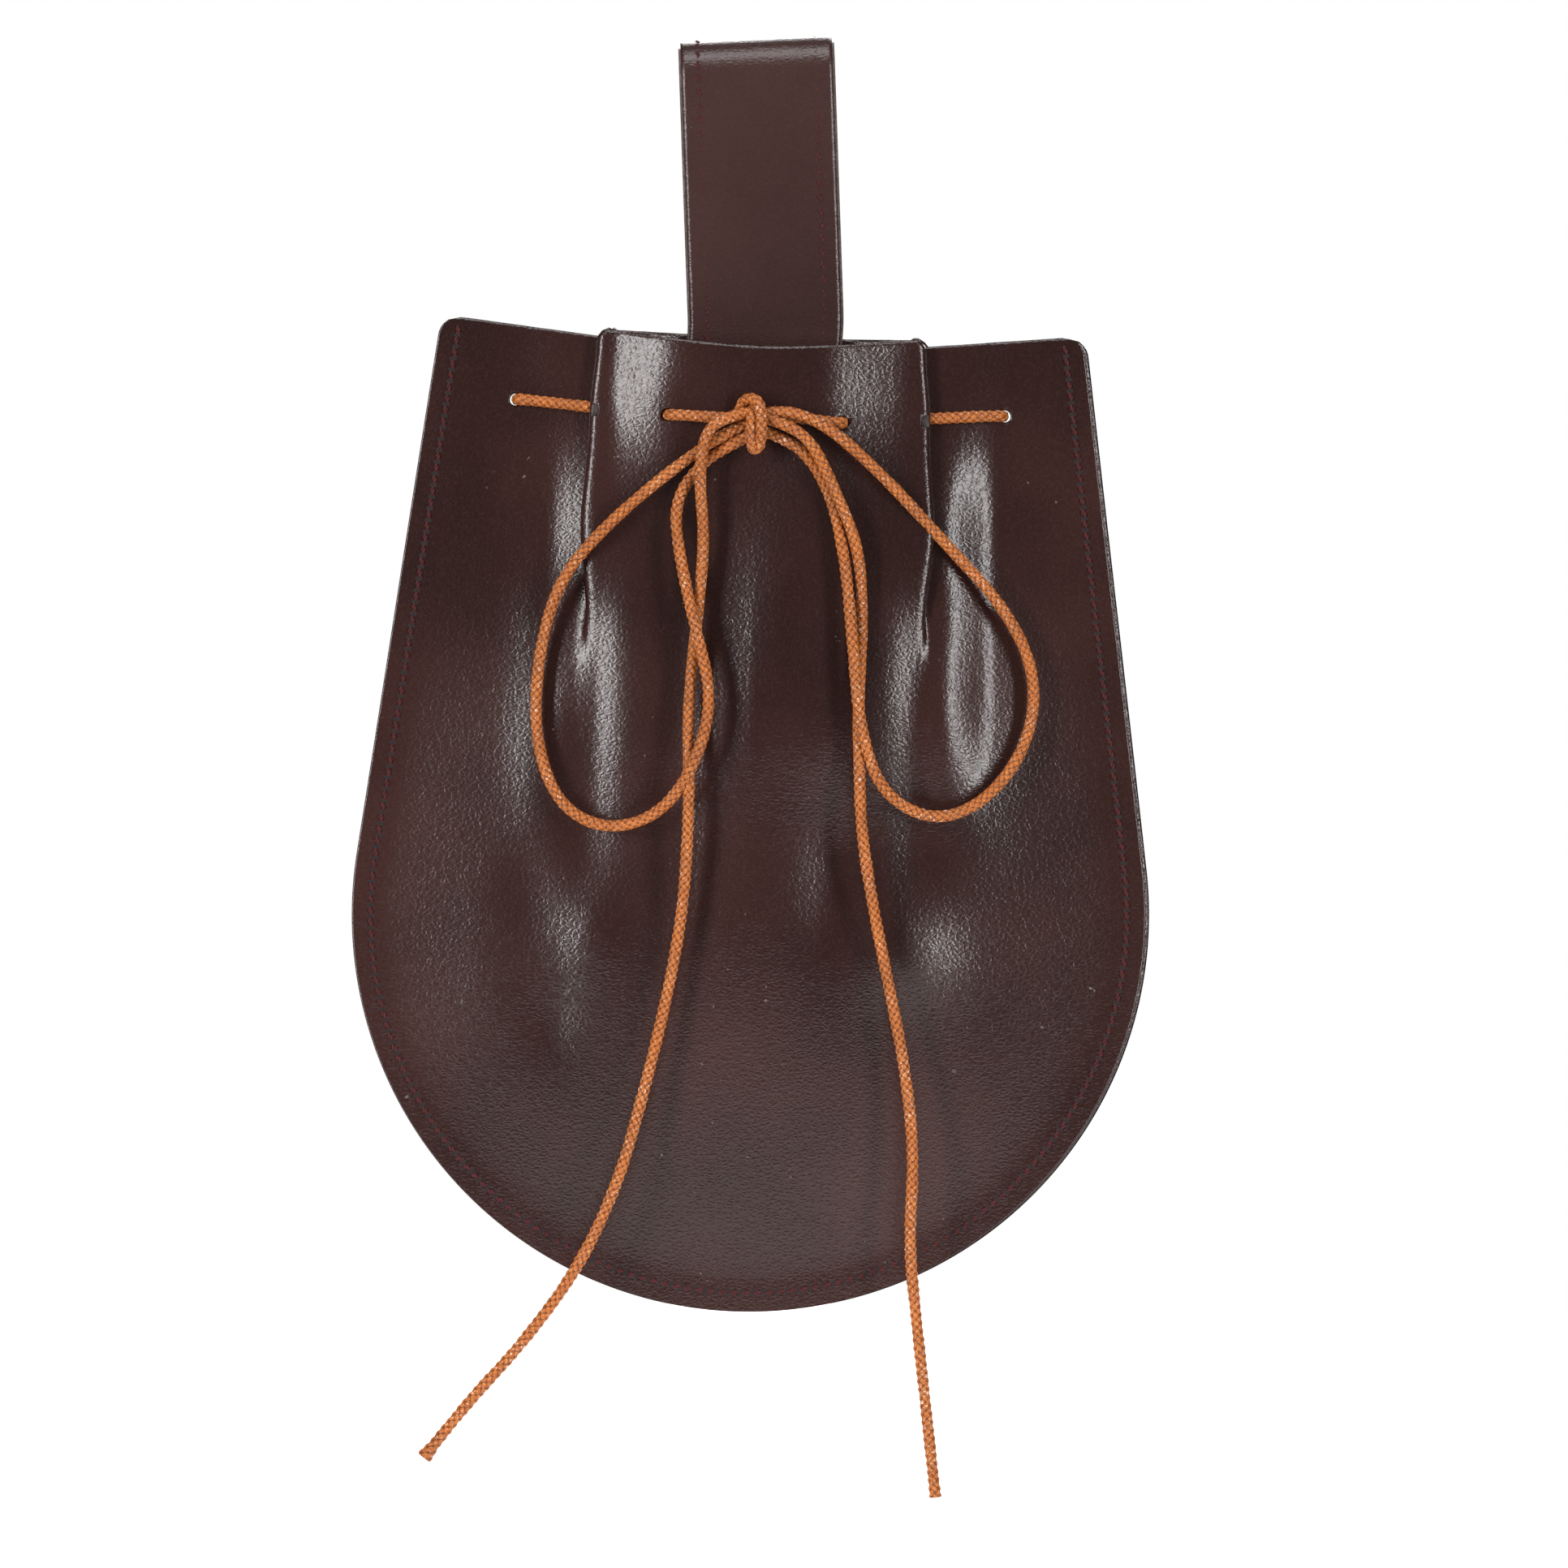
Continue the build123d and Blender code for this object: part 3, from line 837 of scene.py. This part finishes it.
def dome(x, z):
    """Share of the belly's full height: 0 at the seam, 1 at the middle."""
    inside = np.clip((edge_distance(x, z) - SEAM_MARGIN) / (BOTTOM_RADIUS - SEAM_MARGIN), 0, 1)
    inside = inside * inside * 1.06 / (inside + 0.06)
    return 1 - (1 - inside) ** 1.3


def incline(across, start, full, ease, stop):
    """Height gained, going inward, by a slope of 1.

    The slope sets in from start to full and eases off from ease to stop.
    """

    def gained(outer, inner):
        share = np.clip((outer - across) / (outer - inner), 0, 1)
        return (outer - inner) * (share ** 3 - share ** 4 / 2) + np.clip(inner - across, 0, None)

    return gained(start, full) - gained(ease, stop)


def humps(depth, x, z, places):
    """A depth with smooth humps and dents added, each a height, x, x width, z and z width."""
    for height, x_centre, x_width, z_centre, z_width in places:
        depth = depth + height * bump_at(x, x_centre, x_width) * bump_at(z, z_centre, z_width)
    return depth


# height, place across and width of the valleys below the folds and of their crests
FRONT_VALLEYS = ((-1.0, -28.6, 4.2), (-0.9, 28.6, 4.2), (0.6, -37, 5), (0.6, 39, 6))
BACK_VALLEYS = ((-1.3, 29.5, 3.4), (0.8, 37, 4.5))
NEAR_KNOT_HUMPS = (
    (-0.7, 0, 6.5, -67, 9),
    (0.55, -8, 8, -56, 5),
    (-0.2, 20, 6, -60, 8),
)
FRONT_HUMPS = (
    (0.7, -27, 5, -157, 8),
    (-0.55, -34, 5, -171, 7),
    (1.6, 27, 9, -158, 9),
    (-0.9, 15, 6, -144, 14),
    (-0.6, -13, 5, -128, 22),
    (0.8, 4, 7, -98, 16),
    (0.15, -46, 6, -160, 14),
    (-0.4, -38, 5, -148, 9),
)
BACK_HUMPS = (
    (-0.5, 9, 7, -150, 22),
    (0.5, -20, 7, -165, 14),
)


def valleys(depth, across, z, places):
    """A depth with the valleys that run on below the folds, and the crests beside them."""
    run = ramp(z, -158, -120) * ramp(z, -84, -104)
    for height, centre, width in places:
        depth = depth + height * bump_at(across, centre, width) * run
    return depth


def front_depth(x, z):
    """How far the front panel's middle stands in front of the seam plane, without the pleats."""
    gathered = ramp(z, -125, -80)
    across = np.abs(x)
    right = ramp(x, -15, 15)
    depth = LEATHER / 2 + 0.1 + (1 - gathered) * FRONT_BELLY * dome(x, z)
    # the wings rise to the folds, more steeply below the lacing
    left_rise = 0.58 * incline(across, 38, 34, 31, 27.5)
    right_rise = incline(across, 43, 38.5, 36, 30.5)
    rise = left_rise + (right_rise - left_rise) * right
    low = ramp(z, -58, -84) * ramp(z, -142, -112)
    depth = depth + gathered * 0.4 * ramp(across, 44, 34) * (1 - low) + 0.50 * rise * low
    # the centre part: raised from the folds, with soft vertical waves and a dip at the knot
    left_centre = incline(across, 27.5, 23.5, 20, 11)
    right_centre = 0.69 * incline(across, 29.5, 22, 15, 7.5)
    centre = left_centre + (right_centre - left_centre) * right
    depth = depth + 0.36 * centre * ramp(z, -90, -58)
    depth = depth + 0.5 * bump_at(x, -20, 7) * bump_at(z, -61, 6) - 0.4 * low * bump_at(x, 0, 16)
    depth = humps(depth, x, z, NEAR_KNOT_HUMPS)
    return humps(valleys(depth, x, z, FRONT_VALLEYS), x, z, FRONT_HUMPS)


def back_depth(x, z):
    """The same for the back panel, behind the seam plane."""
    gathered = ramp(z, -125, -80)
    across = np.abs(x)
    mouth = 0.4 * ramp(across, 44, 34) - 2.1 * ramp(across, 22, 14)
    depth = LEATHER / 2 + 0.1 + (1 - gathered) * BACK_BELLY * dome(x, z) + gathered * mouth
    rise = incline(across, 41, 37, 31, 28) * ramp(z, -62, -86) * ramp(z, -142, -112)
    depth = depth + 0.28 * rise
    return humps(valleys(depth, across, z, BACK_VALLEYS), x, z, BACK_HUMPS)


def margin_drop(x, z):
    """How far the outer face lies lower at the stitch groove and over the rounded margin."""
    inward = edge_distance(x, z)
    groove = 0.34 * bump_at(inward, STITCH_INSET, 0.55)
    rounded = 0.85 * (1 - np.clip(inward / 3.0, 0, 1)) ** 2
    return groove + rounded - 0.10 * bump_at(inward, SEAM_MARGIN, 1.1)


def half_width(z):
    """Half the outline's width, with rounded top corners."""
    straight = TANGENT_X - tan(SIDE_SLOPE) * (z - TANGENT_Z)
    round_part = np.sqrt(np.maximum(BOTTOM_RADIUS ** 2 - (z - BOTTOM_CENTRE_Z) ** 2, 0))
    width = np.where(z > TANGENT_Z, straight, round_part)
    corner = MOUTH_CORNER_RADIUS
    near = np.clip(corner - (MOUTH_CORNER_Z - z), 0, corner)
    return width - (corner - np.sqrt(corner ** 2 - near ** 2))


def pleat_numbers(z):
    """Hidden depth of the fold, sharpness of its edges and where its edge lies, at a height."""
    hidden = PLEAT_HIDDEN * (1 - ramp(-z, 66, 132))
    sharp = 0.5 + 0.15 * ramp(-z, 56, 74) + 0.9 * ramp(-z, 80, 100) + 5.0 * ramp(-z, 82, 124)
    edge = 28.7 + 1.0 * ramp(-z, 50, 64) + 1.3 * ramp(-z, 64, 86)
    return hidden, sharp, edge


def log_cosh(value):
    """Logarithm of cosh, which rounds a bend between two straight slopes."""
    value = np.abs(value)
    return value + np.log1p(np.exp(-2 * value)) - np.log(2.0)


CENTRE_COLUMNS, PLEAT_COLUMNS, WING_COLUMNS, MARGIN_COLUMNS = 36, 56, 34, 22
TOP_ROWS, ROUND_ROWS = 104, 84


def panel_grid(side, depth_of, mouth_of):
    """Middle surface of a panel, rows from the mouth down, columns from left to right."""
    top_share = np.linspace(0, 1, TOP_ROWS) ** 1.05
    turns = np.linspace(SIDE_SLOPE, -radians(89.0), ROUND_ROWS + 1)[1:]
    rows = []
    for r in range(TOP_ROWS + ROUND_ROWS):
        guess = MOUTH_CORNER_Z + (TANGENT_Z - MOUTH_CORNER_Z) * top_share[min(r, TOP_ROWS - 1)]
        if r >= TOP_ROWS:
            guess = BOTTOM_CENTRE_Z + BOTTOM_RADIUS * sin(turns[r - TOP_ROWS])
        width = float(half_width(guess))
        hidden, sharp, edge = [float(v) for v in pleat_numbers(guess)]
        squeeze = min(1.0, width / 56.0)
        edge *= squeeze
        zone_low, zone_high = edge - 3.5 * squeeze, edge + hidden + 5.0 * squeeze
        full = width + 2 * hidden
        margin = min(7.0, 0.12 * full)
        u = np.concatenate([
            np.linspace(0, zone_low, CENTRE_COLUMNS, endpoint=False),
            np.linspace(zone_low, zone_high, PLEAT_COLUMNS, endpoint=False),
            np.linspace(zone_high, full - margin, WING_COLUMNS, endpoint=False),
            np.linspace(full - margin, full, MARGIN_COLUMNS),
        ])
        folded = log_cosh((u - edge) / sharp) - log_cosh((u - edge - hidden) / sharp)
        folded = 0.5 * sharp * folded
        folded = folded - folded[0]
        share = hidden / max(folded[-1], 1e-6) if hidden > 0.05 else 0.0
        x = u - 2 * folded * share
        x = x * (width / x[-1])
        layer = 1 - 0.25 * (np.tanh((u - edge) / sharp) + 1)
        layer = layer - 0.25 * (np.tanh((u - edge - hidden) / sharp) + 1)
        x = np.concatenate([-x[:0:-1], x])
        layer = np.concatenate([layer[:0:-1], layer])
        if r < TOP_ROWS:
            start = mouth_of(x, layer)
            z = start + (TANGENT_Z - start) * top_share[r]
        else:
            z = np.full_like(x, guess)
        y = depth_of(x, z) + PLEAT_STEP * ramp(z, -122, -88) * layer
        rows.append(np.stack([x, side * y, z], 1))
    return np.array(rows)


def mouth(across, layer, centre):
    """Height of a panel's top edge. Inner layers of the pleat sit a little lower."""
    wing = -51.2 + 2.8 * ((across - 29.5) / 27.4).clip(-0.3, 1)
    return np.where(layer > 0.72, centre, np.where(layer < 0.28, wing, wing - 0.3))


def front_mouth(x, layer):
    across = np.abs(x)
    return mouth(across, layer, -52.5 + 2.5 * (across / 29).clip(0, 1) ** 1.6)


def back_mouth(x, layer):
    across = np.abs(x)
    return mouth(across, layer, -50.7 + 0.9 * (across / 29).clip(0, 1))


def drill(piece, holes):
    """Punch round holes. Each hole is a centre, a length and a radius, in millimetres, along y."""
    points, faces, sides = [], [], 28
    for centre, length, radius in holes:
        base = len(points)
        for end in (-0.5, 0.5):
            for i in range(sides):
                turn = 2 * pi * i / sides
                spoke = Vector((radius * cos(turn), length * end, -radius * sin(turn)))
                points.append(tuple(Vector(centre) + spoke))
        caps = [tuple(range(sides - 1, -1, -1)), tuple(range(sides, 2 * sides))]
        walls = [(i, (i + 1) % sides, sides + (i + 1) % sides, sides + i) for i in range(sides)]
        faces += [tuple(base + i for i in face) for face in caps + walls]
    cutter = make_piece("cutter", points, faces, [piece.data.materials[1]], smooth=False)
    cut = piece.modifiers.new("holes", "BOOLEAN")
    cut.operation = "DIFFERENCE"
    cut.solver = "MANIFOLD"
    cut.object = cutter
    graph = bpy.context.evaluated_depsgraph_get()
    punched = bpy.data.meshes.new_from_object(piece.evaluated_get(graph))
    piece.modifiers.clear()
    piece.data = punched
    bpy.data.objects.remove(cutter)


def pouch_holes(side):
    """Lacing holes in the row frame. The one at the fold only bites its edge."""
    places = (LEFT_HOLE_A, RIGHT_HOLE_A, HOLE_D, (-HOLE_D[0], HOLE_D[1]))
    holes = [(tuple(in_pouch([(x, side * 4.5, z)])[0]), 12.0, HOLE_RADIUS) for x, z in places]
    for mirror in (-1, 1):
        centre = in_pouch([(mirror * (HOLE_B[0] - 0.5), side * 7.0, HOLE_B[1] - 0.5)])[0]
        holes.append((tuple(centre), 4.6, BITE_RADIUS))
    return holes


def make_panels(leather, edge):
    front = panel_grid(-1, front_depth, front_mouth)
    back = panel_grid(1, back_depth, back_mouth)
    for name, grid, node, side in (
        ("front_leather", front, "front_panel", -1),
        ("back_leather", back, "back_panel", 1),
    ):
        drop = margin_drop(grid[:, :, 0], grid[:, :, 2])[:, :, None]
        placed = in_pouch(grid).reshape(grid.shape)
        if side > 0:
            placed, drop = placed[:, ::-1] + np.array((BACK_SHIFT, 0, 0)), drop[:, ::-1]
        piece = shell_from_grid(name, placed, LEATHER, [leather, edge], drop)
        drill(piece, pouch_holes(side))
        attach(piece, "pouch")
        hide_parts(node)


# ---- stitches ------------------------------------------------------------------


def stitch_row(points, outward, length):
    """Points and faces of two-ply stitches along a row, given its outward normals."""
    vertices, faces = [], []
    steps, sides, plies, radius = 8, 6, 2, STITCH_RADIUS
    for here, forward, out in zip(points, unit_tangents(points), outward):
        across = np.cross(out, forward)
        axis = forward + across * (STITCH_SLANT + rng.normal(0, 0.03))
        axis /= np.linalg.norm(axis)
        across = np.cross(out, axis)
        share = np.linspace(-0.5, 0.5, steps + 1)
        arch = np.sqrt(np.clip(1 - (2 * share) ** 2, 0, 1))
        for ply in range(plies):
            turn = 2 * pi * (share * 1.1 + ply / plies) + rng.uniform(0, 0.5)
            offset = radius * 0.42
            centre = (
                here
                + axis * (share * length)[:, None]
                + out * (arch * radius * 0.9 - radius * 0.75 + np.sin(turn) * offset)[:, None]
                + across * (np.cos(turn) * offset)[:, None]
            )
            thick = radius * 0.62 * (0.55 + 0.45 * arch)
            base = sum(len(v) for v in vertices)
            angles = np.linspace(0, 2 * pi, sides, endpoint=False)
            spokes = np.cos(angles)[:, None] * out + np.sin(angles)[:, None] * across
            rings = centre[:, None, :] + thick[:, None, None] * spokes[None, :, :]
            vertices.append(rings.reshape(-1, 3))
            faces += grid_faces(steps + 1, sides, base, around=True)
            faces.append(tuple(base + i for i in range(sides - 1, -1, -1)))
            faces.append(tuple(base + steps * sides + i for i in range(sides)))
    return np.concatenate(vertices), faces


def hole_row(points, outward):
    """Points and faces of small needle holes, as shallow rounded dots on the surface that get the
    painted shade of a hole.
    """
    vertices, faces, sides = [], [], 10
    for i, (here, forward, out) in enumerate(zip(points, unit_tangents(points), outward)):
        across = np.cross(out, forward)
        base = i * (2 * sides + 1)
        for size, lift in ((1.0, 0.01), (0.6, 0.035)):
            for k in range(sides):
                turn = 2 * pi * k / sides
                spoke = forward * cos(turn) * 0.8 + across * sin(turn)
                vertices.append(here + spoke * NEEDLE_HOLE_RADIUS * size + out * lift)
        vertices.append(here + out * 0.04)
        for k in range(sides):
            n = (k + 1) % sides
            faces.append((base + k, base + n, base + sides + n, base + sides + k))
            faces.append((base + sides + k, base + sides + n, base + 2 * sides))
    return np.array(vertices), faces


def add_stitches(part, name, points, outward, length, materials, hold):
    """A row of stitches and the needle holes between them, both handed to hold."""
    stitches = make_piece(
        f"{part}_stitches_{name}", *stitch_row(points, outward, length), [materials[0]])
    between = (points[1:] + points[:-1]) / 2
    holes = make_piece(
        f"{part}_needle_holes_{name}", *hole_row(between, outward[1:]), [materials[1]])
    for piece in (stitches, holes):
        hold(piece)
    return stitches


def ride_pouch(piece):
    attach(piece, "pouch")


def bend_at_mouth(piece):
    """Bakes the piece's placement into its mesh."""
    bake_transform(piece)


def make_seam(thread, dark):
    """Stitch row round the U, on the front and on the back."""
    radius = BOTTOM_RADIUS - STITCH_INSET
    tangent = np.array([radius * cos(SIDE_SLOPE), BOTTOM_CENTRE_Z + radius * sin(SIDE_SLOPE)])
    rise = MOUTH_CORNER_Z - 1.6 - tangent[1]
    top = np.array([tangent[0] - tan(SIDE_SLOPE) * rise, tangent[1] + rise])
    straight = np.linalg.norm(top - tangent)
    sweep = pi + 2 * SIDE_SLOPE
    total = 2 * straight + radius * sweep
    count = int(total / SEAM_PITCH)
    path = []
    for s in (np.arange(count) + 0.5) * total / count:
        if s < straight:
            x, z = top + (tangent - top) * s / straight
            path.append((-x, z))
        elif s > total - straight:
            x, z = top + (tangent - top) * (total - s) / straight
            path.append((x, z))
        else:
            turn = pi - SIDE_SLOPE + (s - straight) / radius
            path.append((radius * cos(turn), BOTTOM_CENTRE_Z + radius * sin(turn)))
    path = np.array(path)
    for name, side, depth_of in (("front", -1, front_depth), ("back", 1, back_depth)):
        lift = depth_of(path[:, 0], path[:, 1]) + LEATHER / 2
        points = in_pouch(np.stack([path[:, 0], side * lift, path[:, 1]], 1))
        outward = np.tile((0.0, float(side), 0.0), (len(points), 1))
        stitches = add_stitches(
            "seam", name, points, outward, SEAM_STITCH, (thread, dark), ride_pouch)
        if side < 0:
            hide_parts("side_seam_thread")


# ---- strap ---------------------------------------------------------------------

STRAP_COLUMNS = 28


def strap_profile(offset):
    """Side line of the strap, from the front tab's end over the top to the back tab's end."""
    leg = LEATHER / 2 + TAB_CLEARANCE + offset
    wide = LOOP_INNER_RADIUS + offset
    line = [(-leg, TAB_END_Z), (-leg, -62.0), (-leg - 0.25, -50.0), (-wide + 1.2, -30.0)]
    line += [(-wide, -16.0), (-wide, -LOOP_INNER_RADIUS)]
    turns = np.linspace(0, pi, 41)[1:-1]
    arc = [(-wide * cos(t), -LOOP_INNER_RADIUS + wide * sin(t)) for t in turns]
    line = np.array(line + arc + [(-y, z) for y, z in reversed(line)])
    even = line_at(line, np.linspace(0, distances(line)[-1], 240))
    for _ in range(6):
        even[1:-1] = 0.25 * even[:-2] + 0.5 * even[1:-1] + 0.25 * even[2:]
    return even


def strap_shift(z):
    """Sideways place of the strap at a height. It leans differently above and below the mouth."""
    above = -z * tan(STRAP_LEAN)
    below = (z - POUCH_LEAN_Z) * tan(POUCH_LEAN) + POUCH_SHIFT_X
    return above + (below - above) * ramp(z, STRAP_BEND_TOP, STRAP_BEND_LOW)


def strap_lift(across, z):
    """How much higher the strap lies to one side, by its lean above the mouth."""
    return across * (ramp(z, STRAP_BEND_LOW, STRAP_BEND_TOP) * tan(STRAP_LEAN))


def strap_strip(name, inner, outer, width, materials):
    """One strip of the strap, between two distances from the loop's inner face."""
    middle = strap_profile((inner + outer) / 2)
    tangents = unit_tangents(middle)
    normals = np.stack([-tangents[:, 1], tangents[:, 0]], 1)
    half = width / 2
    across = np.linspace(-half, half, STRAP_COLUMNS)
    across = np.sign(across) * half * (np.abs(across) / half) ** 0.8
    grid = np.zeros((len(middle), STRAP_COLUMNS, 3))
    for i, (y, z) in enumerate(middle):
        wave = 0.10 * np.sin(z / 9 + across / 7)
        grid[i, :, 0] = across + strap_shift(z)
        grid[i, :, 1] = y + wave * normals[i, 0]
        grid[i, :, 2] = z + wave * normals[i, 1] + strap_lift(across, z)
    piece = shell_from_grid(name, grid[:, ::-1], outer - inner, materials)
    bend_at_mouth(piece)
    return piece


def make_strap(leather, edge, lining, thread, dark):
    outer = strap_strip("strap_outer", STRAP_LAYER, 2 * STRAP_LAYER, STRAP_WIDTH, [leather, edge])
    inner = strap_strip("strap_lining", 0.0, STRAP_LAYER, LINING_WIDTH, [lining, lining])
    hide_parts("belt_loop_outer_strip", "front_tab_outer_strip", "back_tab_outer_strip")
    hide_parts("belt_loop_lining_strip", "front_tab_lining_strip", "back_tab_lining_strip")
    face = strap_profile(2 * STRAP_LAYER)
    total = distances(face)[-1]
    count = int(total / STRAP_PITCH)
    row = line_at(face, (np.arange(count) + 0.5) * total / count)
    tangents = unit_tangents(row)
    outward = np.stack([np.zeros(count), -tangents[:, 1], tangents[:, 0]], 1)
    y, z = row[:, 0], row[:, 1]
    for name, sign in (("left", -1), ("right", 1)):
        across = sign * (STRAP_WIDTH / 2 - STRAP_STITCH_INSET)
        points = np.stack([across + strap_shift(z), y, z + strap_lift(across, z)], 1)
        points = points - STITCH_SINK * outward
        stitches = add_stitches(
            "strap", name, points, outward, STRAP_STITCH, (thread, dark), bend_at_mouth)
        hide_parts(f"belt_loop_{name}_edge_stitching")


def make_anchor_stitches(thread):
    """Two rows that sew the strap's tabs through the back panel."""
    reach = LEATHER / 2 + TAB_CLEARANCE + 2 * STRAP_LAYER
    half = STRAP_WIDTH / 2 - STRAP_STITCH_INSET
    across = np.linspace(-half, half, 9)
    vertices, faces = [], []
    for side in (-1, 1):
        for z in (TAB_END_Z + 3, TAB_END_Z + 7):
            rows = in_pouch([(x, side * reach - SEAM_PLANE_Y, z) for x in across])
            outward = np.tile((0.0, float(side), 0.0), (len(rows), 1))
            points, quads = stitch_row(rows, outward, STRAP_STITCH)
            base = sum(len(v) for v in vertices)
            vertices.append(points)
            faces += [tuple(base + i for i in f) for f in quads]
    piece = make_piece("anchor_stitches", np.concatenate(vertices), faces, [thread])
    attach(piece, "pouch")
    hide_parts("tab_anchor_stitching")


make_camera()
make_studio()
make_floor()
make_cords()
panel_leather = leather_material(
    "panel_leather", (0.0150, 0.0046, 0.0036), (0.0290, 0.0090, 0.0072), 0.25, 0.034)
strap_leather = leather_material(
    "strap_leather", (0.027, 0.0108, 0.0092), (0.040, 0.0162, 0.0138), 0.30, 0.032)
edge_paint = edge_material()
raw_lining = raw_edge_material()
burgundy = thread_material()
# painted shade for the needle holes beside the stitches
needle_hole_shade = needle_hole_shade_material()
make_panels(panel_leather, edge_paint)
make_seam(burgundy, needle_hole_shade)
make_strap(strap_leather, edge_paint, raw_lining, burgundy, needle_hole_shade)
make_anchor_stitches(burgundy)
